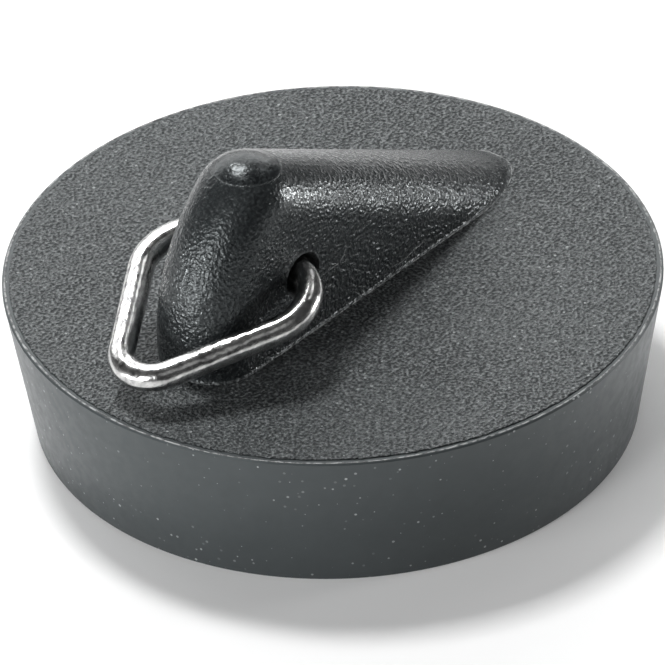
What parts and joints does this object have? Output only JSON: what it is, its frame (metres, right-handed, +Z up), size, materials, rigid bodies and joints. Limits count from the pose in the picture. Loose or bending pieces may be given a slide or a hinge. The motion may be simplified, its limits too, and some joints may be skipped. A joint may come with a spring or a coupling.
{
  "type": "drain stopper",
  "caption": "Tapered rubber basin drain stopper with a moulded fin lug on its top face and a triangular wire pull ring that swings in the lug's cross hole.",
  "frame": {"origin": "centre of the plug's foot, on the plane that the foot's rim lies in", "axes": "+Z up along the plug's own axis, +X along the lug from its tall end to its thin tip, +Y across the lug along its hole"},
  "size_m": [0.0454, 0.0454, 0.0251],
  "materials": {
    "black_rubber": "fine moulded grain on top and lug, smooth satin side wall",
    "bright_wire": "polished plated steel wire"
  },
  "bodies": {
    "plug": {"plug_body": "black_rubber"},
    "ring": {"pull_ring": "bright_wire"}
  },
  "joints": [
    {"name": "ring_swing", "type": "hinge", "parent": "plug", "child": "ring", "pos_m": [-0.0071, 0, 0.01617], "axis": [0, 1, 0], "range_deg": [0, 165]}
  ]
}
